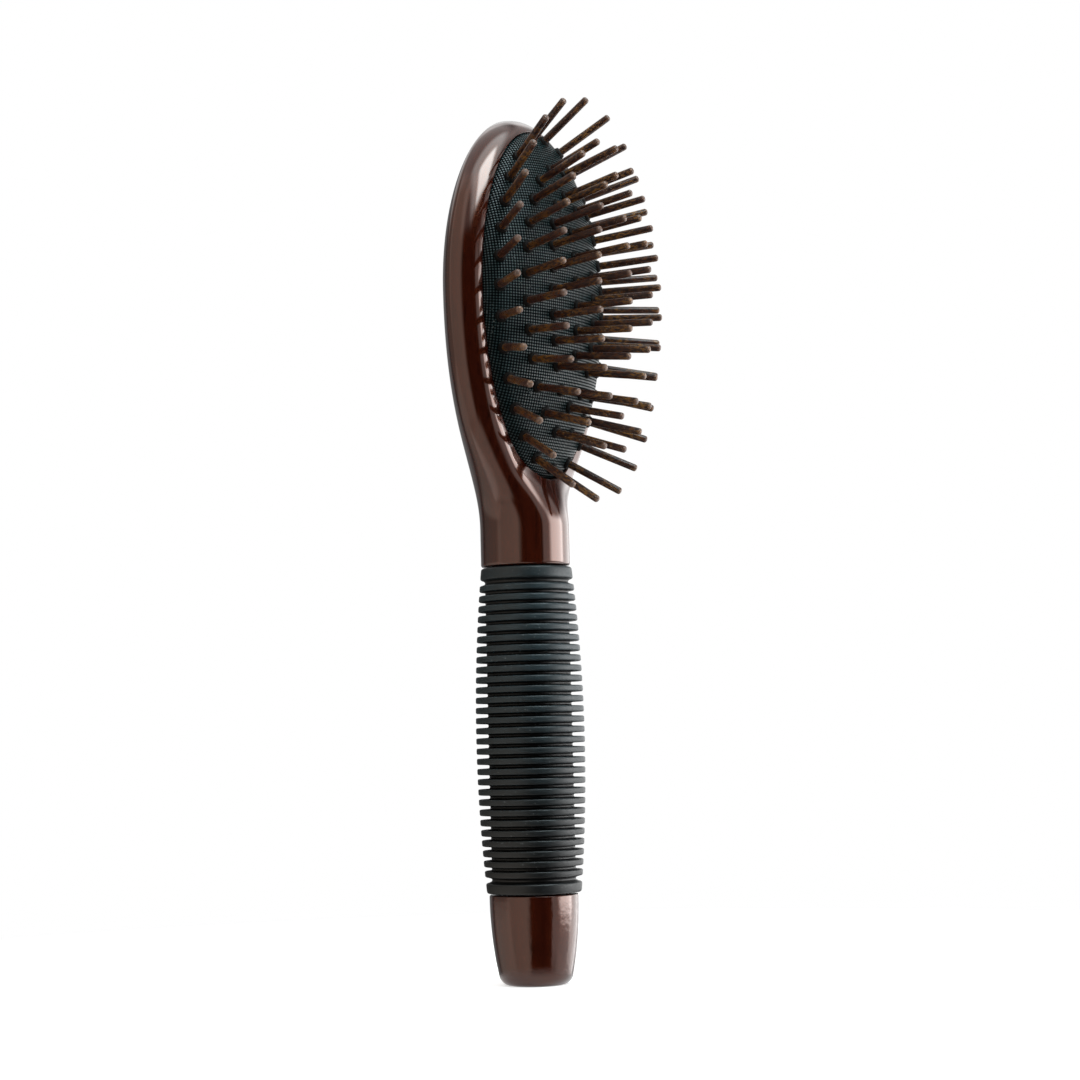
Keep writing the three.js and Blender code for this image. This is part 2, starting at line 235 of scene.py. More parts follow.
def soft_edges(data, left_end, right_end):
    data.use_nodes = True
    tree = data.node_tree
    tree.nodes.clear()
    spot = add_node(tree, "ShaderNodeNewGeometry").outputs["Parametric"]
    sides = add_node(tree, "ShaderNodeSeparateXYZ", {0: spot}).outputs
    glow = map_range(tree, sides[0], first=left_end, last=right_end)
    for side in (0, 1):
        off_middle = math_node(tree, "ABSOLUTE", math_node(tree, "SUBTRACT", sides[side], 0.5))
        glow = math_node(tree, "MULTIPLY", glow, map_range(tree, off_middle, 0.5, FADE_FROM, smooth=True))
    emission = add_node(tree, "ShaderNodeEmission", {"Strength": glow})
    add_node(tree, "ShaderNodeOutputLight", {"Surface": emission.outputs[0]})


def softbox(
    name, beside_camera, elevation, width, height, brightness, left_end=1.0, right_end=1.0, tone=NEUTRAL
):
    pan = CAMERA_PAN + math.radians(beside_camera)
    rise = math.radians(elevation)
    way = Vector((math.sin(pan) * math.cos(rise), -math.cos(pan) * math.cos(rise), math.sin(rise)))
    data = bpy.data.lights.new(name, "AREA")
    data.shape = "RECTANGLE"
    data.size = width
    data.size_y = height
    data.energy = brightness * math.pi * width * height
    data.color = tone
    soft_edges(data, left_end, right_end)
    lamp = bpy.data.objects.new(name, data)
    lamp.visible_camera = False
    bpy.context.scene.collection.objects.link(lamp)
    lamp.location = AIM_POINT + way
    lamp.rotation_euler = (-way).to_track_quat("-Z", "Y").to_euler()
    return lamp


print("softboxes stand one metre from", tuple(round(v, 3) for v in AIM_POINT))

# %% Softboxes round the brush
# name, degrees beside the camera, degrees up, width, height, brightness, its two ends, tone
softbox("left_softbox", -43.0, 8.0, 1.46, 3.40, 1.15, 0.70, 1.0, WARM_WHITE)
softbox("left_far_panel", -100.0, 8.0, 1.50, 3.20, 0.72, 0.0, 1.0, WARM_WHITE)
softbox("left_low_panel", -100.0, -27.0, 1.50, 0.80, 0.60, 0.2, 1.0, WARM_WHITE)
softbox("left_floor_panel", -45.0, -66.0, 1.50, 1.00, 0.95, tone=WARM_WHITE)
softbox("left_far_floor_panel", -100.0, -60.0, 1.10, 0.80, 0.50)
softbox("left_back_panel", -158.0, 10.0, 1.00, 2.40, 0.16)
softbox("key_softbox", 47.0, 53.0, 0.58, 0.56, 11.0, tone=DAYLIGHT)
softbox("key_halo_sheet", 46.0, 62.0, 1.20, 1.00, 2.6, tone=DAYLIGHT)
softbox("overhead_sheet", 0.0, 90.0, 1.50, 1.50, 0.85)
softbox("overhead_front_sheet", 2.0, 48.0, 0.90, 0.60, 0.50)
softbox("overhead_back_sheet", -155.0, 46.0, 1.90, 0.72, 0.90)
softbox("overhead_right_sheet", 125.0, 44.0, 1.60, 0.60, 0.65)
softbox("pin_edge_panel", 55.0, -3.0, 0.45, 1.30, 0.95)
softbox("pin_side_softbox", 87.0, 1.0, 0.98, 0.64, 7.2)
softbox("pin_low_panel", 84.0, -24.0, 0.80, 0.50, 1.2)
softbox("floor_glow_panel", 112.0, -46.0, 1.00, 0.70, 2.8)
softbox("pin_upper_panel", 88.0, 24.0, 0.80, 0.50, 0.9)
softbox("behind_pins_panel", 122.0, -3.0, 0.95, 1.00, 2.7)
softbox("back_right_panel", 158.0, 4.0, 0.95, 0.90, 0.80)

# %% [markdown]
# Shared effects
#
# Two effects turn up in more than one finish, so each is a node group that is built once: the long
# streaks and pores of wood (on the body, the cap and the pins) and fine dust (on the rubber, the
# cloth, the wood and the lacquer). A group puts out masks only; each finish decides what they change.

# %% Starting a group
def noise(tree, place, scale, detail):
    values = {"Vector": place, "Scale": scale, "Detail": detail}
    return add_node(tree, "ShaderNodeTexNoise", values).outputs[0]


def new_group(name, ins, outs):
    group = bpy.data.node_groups.new(name, "ShaderNodeTree")
    for label, default in ins.items():
        kind = "NodeSocketVector" if default is None else "NodeSocketFloat"
        socket = group.interface.new_socket(label, in_out="INPUT", socket_type=kind)
        if default is not None:
            socket.default_value = default
    for label in outs:
        group.interface.new_socket(label, in_out="OUTPUT", socket_type="NodeSocketFloat")
    source = group.nodes.new("NodeGroupInput").outputs
    result = group.nodes.new("NodeGroupOutput").inputs
    return group, source, result


print("ready: noise and new_group")

# %% Wood streaks group
PORES_FINER = 2.6

wood_streaks, source, result = new_group(
    "wood_streaks", {"Place": None, "Fineness": 900.0, "Stretch": 0.06}, ["Streaks", "Pores"]
)
squeeze = add_node(wood_streaks, "ShaderNodeCombineXYZ", {0: 1.0, 1: 1.0, 2: source["Stretch"]})
along = add_node(
    wood_streaks, "ShaderNodeVectorMath", {0: source["Place"], 1: squeeze.outputs[0]}, operation="MULTIPLY"
).outputs[0]
broad = add_node(
    wood_streaks, "ShaderNodeTexNoise",
    {"Vector": along, "Scale": source["Fineness"], "Detail": 5.0, "Roughness": 0.62},
).outputs[0]
pore_scale = math_node(wood_streaks, "MULTIPLY", source["Fineness"], PORES_FINER)
pore_noise = noise(wood_streaks, along, scale=pore_scale, detail=2.0)
wood_streaks.links.new(map_range(wood_streaks, broad, 0.34, 0.68), result["Streaks"])
wood_streaks.links.new(map_range(wood_streaks, pore_noise, 0.60, 0.72), result["Pores"])
print("group:", wood_streaks.name)

# %% Fine dust group
SPECKS_COARSER = 0.35
PATCH_SCALE = 90.0

fine_dust, source, result = new_group(
    "fine_dust", {"Place": None, "Fineness": 2200.0, "Amount": 0.5}, ["Specks", "Grain"]
)
grain = noise(fine_dust, source["Place"], scale=source["Fineness"], detail=3.0)
speck_scale = math_node(fine_dust, "MULTIPLY", source["Fineness"], SPECKS_COARSER)
speck_cells = add_node(
    fine_dust, "ShaderNodeTexVoronoi", {"Vector": source["Place"], "Scale": speck_scale}
)
dots = map_range(fine_dust, speck_cells.outputs["Distance"], 0.22, 0.10)
patches = noise(fine_dust, source["Place"], scale=PATCH_SCALE, detail=2.0)
patchy = map_range(fine_dust, patches, 0.5, 0.75)
specks = math_node(fine_dust, "MULTIPLY", dots, patchy)
fine_dust.links.new(math_node(fine_dust, "MULTIPLY", specks, source["Amount"]), result["Specks"])
fine_dust.links.new(grain, result["Grain"])
print("group:", fine_dust.name)

# %% [markdown]
# Lacquered wood
#
# The head, neck and cap are dark red-brown wood under a thick clear gloss. What is seen is mostly the
# gloss: broad brown bands where it mirrors a softbox, a deep red-black where it mirrors the dark room.
# Two layers make that: a smooth clear coat with a neutral shine, and under it a stained, slightly
# rougher wood whose own shine is tinted brown. Long streaks and pores only show faintly through it.
# The small turned cap has a less even skin than the body, so mirrored lights waver on it.

# %% Helpers for a finish
def use_group(tree, group, inputs):
    return add_node(tree, "ShaderNodeGroup", inputs, node_tree=group).outputs


def blend_colours(tree, amount, first, second):
    mix = add_node(tree, "ShaderNodeMix", {"Factor": amount}, data_type="RGBA")
    for socket, colour in ((mix.inputs[6], first), (mix.inputs[7], second)):
        if isinstance(colour, bpy.types.NodeSocket):
            tree.links.new(colour, socket)
        else:
            socket.default_value = (*colour, 1.0)
    return mix.outputs[2]


def bump(tree, height, strength, distance):
    values = {"Height": height, "Strength": strength, "Distance": distance}
    return add_node(tree, "ShaderNodeBump", values).outputs[0]


def close_finish(tree, values):
    shader = add_node(tree, "ShaderNodeBsdfPrincipled", values)
    add_node(tree, "ShaderNodeOutputMaterial", {"Surface": shader.outputs[0]})


print("ready: use_group, blend_colours, bump and close_finish")

# %% Lacquered wood finish
CAP_SKIN_FROM, CAP_SKIN_BY = 0.030, 0.020
EVEN_SKIN, UNEVEN_SKIN = 0.15, 2.8


def lacquered_wood_finish():
    material, tree = empty_material("lacquered_wood")
    place = add_node(tree, "ShaderNodeTexCoord").outputs["Object"]
    wood = use_group(tree, wood_streaks, {"Place": place, "Fineness": 420.0, "Stretch": 0.035})
    dust = use_group(tree, fine_dust, {"Place": place, "Fineness": 1500.0, "Amount": 0.6})
    brown = blend_colours(tree, wood["Streaks"], (0.012, 0.0013, 0.0004), (0.024, 0.0032, 0.0010))
    brown = blend_colours(tree, wood["Pores"], brown, (0.008, 0.0010, 0.0004))
    height = add_node(tree, "ShaderNodeSeparateXYZ", {0: place}).outputs[2]
    on_cap = map_range(tree, height, CAP_SKIN_FROM, CAP_SKIN_BY, EVEN_SKIN, UNEVEN_SKIN)
    ripple = noise(tree, place, scale=140.0, detail=1.0)
    fine_skin = math_node(tree, "MULTIPLY", noise(tree, place, scale=800.0, detail=2.0), on_cap)
    unevenness = math_node(tree, "ADD", ripple, fine_skin)
    skin = bump(tree, unevenness, strength=0.04, distance=0.0004)
    close_finish(tree, {
        "Base Color": brown,
        "Roughness": map_range(tree, dust["Grain"], first=0.15, last=0.23),
        "Specular IOR Level": 0.36,
        "Specular Tint": (1.0, 0.28, 0.08, 1.0),
        "Coat Weight": 1.0,
        "Coat Roughness": 0.08,
        "Coat Normal": skin,
        "Normal": skin,
    })
    return material


lacquered_wood = lacquered_wood_finish()
print("finish:", lacquered_wood.name)

# %% [markdown]
# Wooden body
#
# The body is one piece of wood that flares from a round neck into an oval head, with a rounded lip
# round the cushion and a domed back. It could be carved from a block with booleans, but a cut leaves
# creases that gloss shows at once. Instead a plain tube is cut into many rings, and each ring is drawn
# out to the head's own section: the back is a dome that thins towards the sides, and the front rolls
# over in two arcs, a wide one at the side and a tighter one at the crest, measured in from the
# outline, before it dips to the cushion's edge.

# %% Sizes of head and neck, in millimetres
NECK_RADIUS = 11.6
NECK_BOTTOM = 106.3
FLARE_START = 116.0
LIP_BLEND_END = 136.0
HEAD_MIDDLE = 175.2
HEAD_TOP = 222.4
HEAD_HALF_WIDTH = 32.8
HEAD_BACK = 12.0
BACK_TAPER = 0.66
LIP_OUTER_RADIUS = 7.0
LIP_CREST_RADIUS = 3.0
LIP_CHANGE = 0.5
INNER_EDGE = 0.4
DISH_DEPTH = 4.4
CUSHION_HALF_WIDTH = 27.0
CUSHION_UP = 43.3
CUSHION_DOWN = 46.6


def oval_distance(x, dz, half_width, half_length):
    scale = np.maximum(np.hypot(x / half_width, dz / half_length), 1e-6)
    slope = np.hypot(x / half_width**2, dz / half_length**2) / scale
    return (scale - 1.0) / np.maximum(slope, 1e-6)


def cushion_reach(z):
    return np.where(z > HEAD_MIDDLE, CUSHION_UP, CUSHION_DOWN)


def outside_cushion(x, z):
    return oval_distance(x, z - HEAD_MIDDLE, CUSHION_HALF_WIDTH, cushion_reach(z))


lip_width = float(outside_cushion(HEAD_HALF_WIDTH, HEAD_MIDDLE))
print("width of the lip at the widest line:", round(lip_width, 2))

# %% Rounds of the lip
def quarter_round(share):
    return np.sqrt(1.0 - (1.0 - np.clip(share, 0.0, 1.0)) ** 2)


def lip_rise(inside):
    outer = LIP_OUTER_RADIUS * quarter_round(np.minimum(inside / LIP_OUTER_RADIUS, LIP_CHANGE))
    past_change = np.maximum(inside - LIP_CHANGE * LIP_OUTER_RADIUS, 0.0) / LIP_CREST_RADIUS
    crest = quarter_round(LIP_CHANGE + past_change) - quarter_round(LIP_CHANGE)
    return outer + LIP_CREST_RADIUS * crest


print("rise of the lip:", round(float(lip_rise(lip_width)), 2))

# %% Back and front of the body at one height
WALL_STEPS = 20


def head_blend(z):
    t = min(max((z - FLARE_START) / (LIP_BLEND_END - FLARE_START), 0.0), 1.0)
    return t * t * (3.0 - 2.0 * t)


def back_line(z, half_width, swing):
    blend = head_blend(z)
    rise = max(0.0, (z - HEAD_MIDDLE) / (HEAD_TOP - HEAD_MIDDLE))
    depth = half_width
    if z > FLARE_START:
        depth = (NECK_RADIUS + (HEAD_BACK - NECK_RADIUS) * blend) * max(0.0, 1.0 - rise**2) ** BACK_TAPER
    taper = 0.5 + (BACK_TAPER - 0.5) * blend
    return np.stack([half_width * np.cos(swing), depth * np.abs(np.sin(swing)) ** (2 * taper)], axis=1)


def front_line(z, half_width, lean, swing):
    blend = head_blend(z)
    neck = NECK_RADIUS if z > FLARE_START else half_width
    x = -half_width * np.cos(swing)
    inside = (half_width - np.abs(x)) * lean
    if z > HEAD_MIDDLE:
        inside = -oval_distance(x, z - HEAD_MIDDLE, HEAD_HALF_WIDTH, HEAD_TOP - HEAD_MIDDLE)
    depth = neck * np.abs(np.sin(swing)) * (1.0 - blend) + lip_rise(inside) * blend
    gap = outside_cushion(x, np.full_like(x, z))
    dip = np.where(gap < INNER_EDGE, quarter_round(gap / INNER_EDGE), 1.0)
    depth = DISH_DEPTH + (depth - DISH_DEPTH) * dip
    wall = np.linspace(0.0, 1.0, WALL_STEPS)[:-1, None]
    return np.concatenate([
        wall * [x[0], -depth[0]] + (1.0 - wall) * [x[0], 0.0],
        np.stack([x, -depth], axis=1),
        wall[::-1] * [x[-1], -depth[-1]] + (1.0 - wall[::-1]) * [x[-1], 0.0],
    ])


print("share of the head's section half-way up the blend:", head_blend(0.5 * (FLARE_START + LIP_BLEND_END)))

# %% Section of the body at one height
BACK_STEPS = 76
FRONT_STEPS = 132
OUTLINE_STEPS = 1601
LIP_FOCUS = 1.4
LIP_FOCUS_WIDTH = 2.2
LIP_FOCUS_GAIN = 3.0


def even_spacing(line, weight, steps):
    lengths = np.hypot(*np.diff(line, axis=0).T) * weight
    travelled = np.concatenate([[0.0], np.cumsum(lengths)])
    stops = np.linspace(0.0, travelled[-1], steps + 1)[:-1]
    return np.stack([np.interp(stops, travelled, line[:, k]) for k in (0, 1)], axis=1)


def body_section(z, half_width, lean):
    swing = np.linspace(0.0, math.pi, OUTLINE_STEPS)
    back, front = back_line(z, half_width, swing), front_line(z, half_width, lean, swing)
    middle = 0.5 * (front[1:] + front[:-1])
    from_lip = outside_cushion(middle[:, 0], np.full(len(middle), z)) - LIP_FOCUS
    near_lip = np.exp(-((from_lip / LIP_FOCUS_WIDTH) ** 2))
    ring = np.concatenate([
        even_spacing(back, 1.0, BACK_STEPS),
        even_spacing(front, 1.0 + LIP_FOCUS_GAIN * near_lip, FRONT_STEPS),
    ])
    return np.column_stack([ring, np.full(len(ring), z)])


widest = body_section(HEAD_MIDDLE, HEAD_HALF_WIDTH, 1.0)
print("section at the widest line:", np.round(widest.min(axis=0), 2))

# %% Heights of the rings
FLARE_PULL_LOW = 129.3
FLARE_PULL_HIGH = 133.7
FLARE_ENDS = (
    (NECK_RADIUS, FLARE_START),
    (NECK_RADIUS, FLARE_PULL_LOW),
    (HEAD_HALF_WIDTH, FLARE_PULL_HIGH),
    (HEAD_HALF_WIDTH, HEAD_MIDDLE),
)
NECK_EDGE = ((0.6, 0.0), (0.25, 0.1), (0.0, 0.5))
NECK_RINGS = (0.6, 2.0, 4.0, 6.0, 8.0)
FLARE_RINGS = 150
HEAD_RINGS = 130
TANGENT_STEP = 0.001


def flare_point(t):
    shares = ((1 - t) ** 3, 3 * (1 - t) ** 2 * t, 3 * (1 - t) * t**2, t**3)
    return np.array([sum(share * end[k] for share, end in zip(shares, FLARE_ENDS)) for k in (0, 1)])


def flare_station(t):
    run, rise = flare_point(min(t + TANGENT_STEP, 1.0)) - flare_point(max(t - TANGENT_STEP, 0.0))
    return (*flare_point(t), rise / math.hypot(run, rise))


stations = [(NECK_RADIUS - inset, NECK_BOTTOM + step, 1.0) for inset, step in NECK_EDGE]
stations += [(NECK_RADIUS, NECK_BOTTOM + NECK_EDGE[-1][1] + step, 1.0) for step in NECK_RINGS]
stations += [flare_station(t) for t in np.linspace(0.0, 1.0, FLARE_RINGS)]
stations += [
    (HEAD_HALF_WIDTH * math.cos(a), HEAD_MIDDLE + (HEAD_TOP - HEAD_MIDDLE) * math.sin(a), 1.0)
    for a in np.linspace(0.0, math.pi / 2, HEAD_RINGS)[1:]
]
print("rings:", len(stations))

# %% Keeping a finished piece
def keep_piece(name, bm, finish, body, stands_for=()):
    bmesh.ops.scale(bm, vec=(MM, MM, MM), verts=bm.verts)
    mesh = bpy.data.meshes.new(name)
    bm.to_mesh(mesh)
    bm.free()
    mesh.shade_smooth()
    mesh.materials.append(finish)
    piece = bpy.data.objects.new(name, mesh)
    bpy.context.scene.collection.objects.link(piece)
    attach(piece, body)
    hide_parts(*stands_for)
    return piece


print("ready: keep_piece")

# %% Wooden body from a tube
BODY_WELD = 0.002


def wooden_body_mesh():
    around = BACK_STEPS + FRONT_STEPS
    rings = [body_section(z, half_width, lean) for half_width, z, lean in stations]
    bm = bmesh.new()
    bmesh.ops.create_cone(bm, cap_ends=False, segments=around, radius1=1.0, radius2=1.0, depth=1.0)
    upright = [e for e in bm.edges if abs(e.verts[0].co.z - e.verts[1].co.z) > 0.5]
    bmesh.ops.subdivide_edges(bm, edges=upright, cuts=len(rings) - 2, use_grid_fill=True)
    for vert in bm.verts:
        level = round((vert.co.z + 0.5) * (len(rings) - 1))
        place = round(math.atan2(vert.co.y, vert.co.x) / (2 * math.pi) * around) % around
        vert.co = rings[level][place]
    bmesh.ops.remove_doubles(bm, verts=bm.verts, dist=BODY_WELD)
    bmesh.ops.holes_fill(bm, edges=[e for e in bm.edges if e.is_boundary], sides=0)
    bmesh.ops.recalc_face_normals(bm, faces=bm.faces)
    return bm


wooden_body = keep_piece(
    "lacquered_body", wooden_body_mesh(), lacquered_wood, "brush", ["wooden_body"]
)
print("lacquered body:", len(wooden_body.data.polygons), "faces")

# %% [markdown]
# Turned pieces
#
# The end cap and the grip are round, so each is half an outline spun about the handle's axis. The cap
# has a flat butt with a rounded edge and a slight waist; the grip is one rubber moulding with 29 thin
# fins between two thicker end rings, its outline swelling gently for the palm. A Screw modifier on a
# curve would turn the same shapes, but a spun outline is a finished mesh at once, with its rings just
# where the outline has its points.

# %% Spinning an outline
TURNED_STEPS = 112
SPUN_WELD = 0.0005
SHARP_FROM = math.radians(50.0)


def spun(outline, steps):
    bm = bmesh.new()
    verts = [bm.verts.new((radius, 0.0, z)) for radius, z in outline]
    edges = [bm.edges.new(pair) for pair in zip(verts, verts[1:])]
    bmesh.ops.spin(
        bm, geom=verts + edges, cent=(0, 0, 0), axis=(0, 0, 1), angle=2 * math.pi, steps=steps, use_merge=True
    )
    bmesh.ops.remove_doubles(bm, verts=bm.verts, dist=SPUN_WELD)
    bmesh.ops.recalc_face_normals(bm, faces=bm.faces)
    return bm


def curve_point(start, pull, end, t):
    return tuple(start * (1 - t) ** 2 + pull * 2 * t * (1 - t) + end * t**2)


def rounded_corner(outline, corner, before, after, radius, steps=4):
    corner, before, after = Vector(corner), Vector(before), Vector(after)
    start = corner + (before - corner).normalized() * radius
    end = corner + (after - corner).normalized() * radius
    outline += [curve_point(start, corner, end, i / steps) for i in range(steps + 1)]


print("outlines are spun about the handle's axis in", TURNED_STEPS, "steps")

# %% End cap, in millimetres
BUTT_INNER = 3.3
BUTT_FLAT = 6.5
BUTT_EDGE = 3.0
BUTT_EDGE_TURN = math.radians(74.0)
CAP_WAIST = (11.4, 11.4)
CAP_TOP_RADIUS = 11.46
CAP_TOP = 22.9
CAP_TOP_INNER = 7.2
CAP_EDGE_START = 22.1
CAP_EDGE = 0.5


def end_cap_outline():
    outline = [(0.0, 0.0), (BUTT_INNER, 0.0), (BUTT_FLAT, 0.0)]
    outline += [
        (BUTT_FLAT + BUTT_EDGE * math.sin(a), BUTT_EDGE * (1.0 - math.cos(a)))
        for a in np.linspace(0.0, BUTT_EDGE_TURN, 13)[1:]
    ]
    low, waist, top = Vector(outline[-1]), Vector(CAP_WAIST), Vector((CAP_TOP_RADIUS, CAP_EDGE_START))
    outline += [curve_point(low, waist, top, t) for t in np.linspace(0.0, 1.0, 25)[1:-1]]
    rounded_corner(outline, (CAP_TOP_RADIUS, CAP_TOP), top, (CAP_TOP_INNER, CAP_TOP), CAP_EDGE)
    return outline + [(CAP_TOP_INNER, CAP_TOP), (0.0, CAP_TOP)]


end_cap = keep_piece(
    "turned_end_cap", spun(end_cap_outline(), TURNED_STEPS), lacquered_wood, "brush",
    ["end_cap"],
)
end_cap.data.set_sharp_from_angle(angle=SHARP_FROM)
print("end cap:", len(end_cap.data.polygons), "faces")

# %% [markdown]
# Grip rubber
#
# The rubber is charcoal with a cold tint and a satin skin, bright where the softbox grazes the fins'
# flat rims. Painted shade makes it almost black in the grooves and darker towards the butt: the
# distance from the handle's axis tells rim from groove, and the height tells butt from neck. A fine
# grain breaks up the shine, and a little dust sits on it.

# %% Grip rubber finish
# radii and heights that bound the painted shade: near-black in the grooves, darker towards the butt
GROOVE_RADIUS, RIM_RADIUS = 0.0108, 0.0122
DARK_END, LIGHT_FROM = 0.030, 0.085
DARK_SHARE = 0.10


def grip_rubber_finish():
    material, tree = empty_material("grip_rubber")
    place = add_node(tree, "ShaderNodeTexCoord").outputs["Object"]
    dust = use_group(tree, fine_dust, {"Place": place, "Fineness": 2600.0, "Amount": 0.5})
    shade = map_range(tree, noise(tree, place, scale=240.0, detail=3.0), 0.35, 0.7)
    charcoal = blend_colours(tree, shade, (0.0030, 0.0098, 0.0128), (0.0076, 0.0166, 0.0206))
    # painted shade: the rubber turns near-black down in the grooves and darker towards the butt, where less
    # light falls
    height = add_node(tree, "ShaderNodeSeparateXYZ", {0: place}).outputs[2]
    out_of_butt_shade = map_range(tree, height, DARK_END, LIGHT_FROM, DARK_SHARE, 1.0)
    flat = add_node(tree, "ShaderNodeVectorMath", {0: place, 1: (1.0, 1.0, 0.0)}, operation="MULTIPLY")
    outwards = add_node(tree, "ShaderNodeVectorMath", {0: flat.outputs[0]}, operation="LENGTH")
    out_of_groove_shade = map_range(tree, outwards.outputs["Value"], GROOVE_RADIUS, RIM_RADIUS)
    outside_painted_shade = math_node(tree, "MULTIPLY", out_of_butt_shade, out_of_groove_shade)
    charcoal = blend_colours(tree, outside_painted_shade, (0.0002, 0.0006, 0.0008), charcoal)
    charcoal = blend_colours(tree, dust["Specks"], charcoal, (0.16, 0.17, 0.17))
    close_finish(tree, {
        "Base Color": charcoal,
        "Roughness": map_range(tree, dust["Grain"], 0.3, 0.7, 0.38, 0.52),
        "Specular IOR Level": 0.37,
        "Normal": bump(tree, dust["Grain"], strength=0.25, distance=0.00008),
    })
    return material


grip_rubber = grip_rubber_finish()
print("finish:", grip_rubber.name)

# %% Grip sleeve, in millimetres
GRIP_BOTTOM = 23.2
GRIP_TOP = 106.0
GRIP_CORE = 10.7
GRIP_INSIDE = GRIP_CORE - 2.0
GRIP_BORE = 7.1
GRIP_BELLY_RADIUS = 13.9
GRIP_BELLY_HEIGHT = 62.5
GRIP_BELLY_CURVE = 0.0012
FIN_COUNT = 29
FIN_FIRST = 28.15
FIN_LAST = 100.75
FIN_THICKNESS = 1.56
FIN_CORNER = 0.42
BOTTOM_RING = 2.7
TOP_RING = 3.1
RING_CORNER = 0.7
GROOVE_CORNER = 0.2


def fin_radius(z):
    return GRIP_BELLY_RADIUS - GRIP_BELLY_CURVE * (z - GRIP_BELLY_HEIGHT) ** 2


def add_rim(outline, low, high, corner):
    low_edge, high_edge = (fin_radius(low), low), (fin_radius(high), high)
    rounded_corner(outline, low_edge, (GRIP_INSIDE, low), high_edge, corner)
    rounded_corner(outline, high_edge, low_edge, (GRIP_INSIDE, high), corner)


def add_groove(outline, middle):
    for out, up in ((1, -2), (0, -1), (0, 1), (1, 2)):
        outline.append((GRIP_CORE + out * GROOVE_CORNER, middle + up * GROOVE_CORNER))


def grip_outline():
    outline = [(GRIP_BORE, GRIP_BOTTOM)]
    add_rim(outline, GRIP_BOTTOM, GRIP_BOTTOM + BOTTOM_RING, RING_CORNER)
    pitch = (FIN_LAST - FIN_FIRST) / (FIN_COUNT - 1)
    half_fin = FIN_THICKNESS / 2
    for i in range(FIN_COUNT):
        z = FIN_FIRST + i * pitch
        add_groove(outline, z - pitch / 2 if i else 0.5 * (GRIP_BOTTOM + BOTTOM_RING + z - half_fin))
        add_rim(outline, z - half_fin, z + half_fin, FIN_CORNER)
    add_groove(outline, 0.5 * (GRIP_TOP - TOP_RING + FIN_LAST + half_fin))
    add_rim(outline, GRIP_TOP - TOP_RING, GRIP_TOP, RING_CORNER)
    return outline + [(GRIP_BORE, GRIP_TOP)]


grip_sleeve = keep_piece(
    "finned_grip", spun(grip_outline(), TURNED_STEPS), grip_rubber, "brush", ["grip_sleeve"]
)
grip_sleeve.data.set_sharp_from_angle(angle=SHARP_FROM)
print("grip:", len(grip_sleeve.data.polygons), "faces,", FIN_COUNT, "fins")

# %% [markdown]
# Cushion
#
# The cushion is a thin rubber skin with a woven face, blown up by the air behind it, so it is a tight
# dome that meets the lip all round. A flat grid is squeezed into an oval and lifted by the same dome
# curve that places the pins; its rim then folds down inside the lip and the back is closed. A cloth
# simulation could blow up a flat skin instead, but the pins would then have to be fitted to its result.

# %% Dome height
RIM_DEPTH = 6.0
DOME_HEIGHT = 11.3
DOME_POWER = 0.66


def dome_depth(scale):
    return -RIM_DEPTH - DOME_HEIGHT * np.maximum(1.0 - scale**2, 0.0) ** DOME_POWER


print("dome stands", DOME_HEIGHT, "mm above its rim")

# %% [markdown]
# Woven face
#
# The cushion's face is a fine dark cloth whose threads catch the light as rows of small dots. Real
# threads could be modelled, but thousands of them would cost more than they show. Two crossed waves
# draw them instead, as colour, bump and gloss, on a map that is measured along the surface, so that the
# threads keep their size on the steep sides. The gloss is a clear coat that only the raised threads
# carry, so that the gaps between them stay dark.

# %% Woven face finish
def woven_face_finish():
    material, tree = empty_material("woven_face")
    place = add_node(tree, "ShaderNodeTexCoord").outputs["Object"]
    weave_map = add_node(tree, "ShaderNodeUVMap", uv_map="weave").outputs[0]
    threads = add_node(tree, "ShaderNodeSeparateXYZ", {0: weave_map}).outputs
    rows = []
    for axis in (0, 1):
        turn = math_node(tree, "MULTIPLY", threads[axis], math.pi)
        rows.append(math_node(tree, "ABSOLUTE", math_node(tree, "SINE", turn)))
    crossing = math_node(tree, "MULTIPLY", rows[0], rows[1])
    lit = map_range(tree, crossing, 0.30, 0.80, smooth=True)
    thread_shade = map_range(tree, noise(tree, weave_map, scale=0.55, detail=3.0), 0.3, 0.7)
    thread = blend_colours(tree, thread_shade, (0.0008, 0.0094, 0.0106), (0.0038, 0.0184, 0.0192))
    cloth = blend_colours(tree, lit, (0.0001, 0.0012, 0.0016), thread)
    dust = use_group(tree, fine_dust, {"Place": place, "Fineness": 2400.0, "Amount": 0.35})
    cloth = blend_colours(tree, dust["Specks"], cloth, (0.22, 0.23, 0.22))
    raised = bump(tree, crossing, strength=0.45, distance=0.00022)
    close_finish(tree, {
        "Base Color": cloth,
        "Roughness": map_range(tree, lit, first=0.80, last=0.45),
        "Specular IOR Level": 0.03,
        "Coat Weight": map_range(tree, lit, first=0.0, last=0.86),
        "Coat Roughness": 0.30,
        "Coat Normal": raised,
        "Normal": raised,
    })
    return material


woven_face = woven_face_finish()
print("finish:", woven_face.name)

# %% Cushion from a grid
THREAD_PITCH = 0.76
GRID_ACROSS = 150
GRID_ALONG = 240
RIM_FOLD = 1.1
REACH_STEPS = 60


def surface_reach(scale, direction_length):
    steps = np.linspace(0.0, scale, REACH_STEPS)
    rise = np.diff(dome_depth(steps))
    run = np.diff(steps) * direction_length
    return float(np.hypot(rise, run).sum())


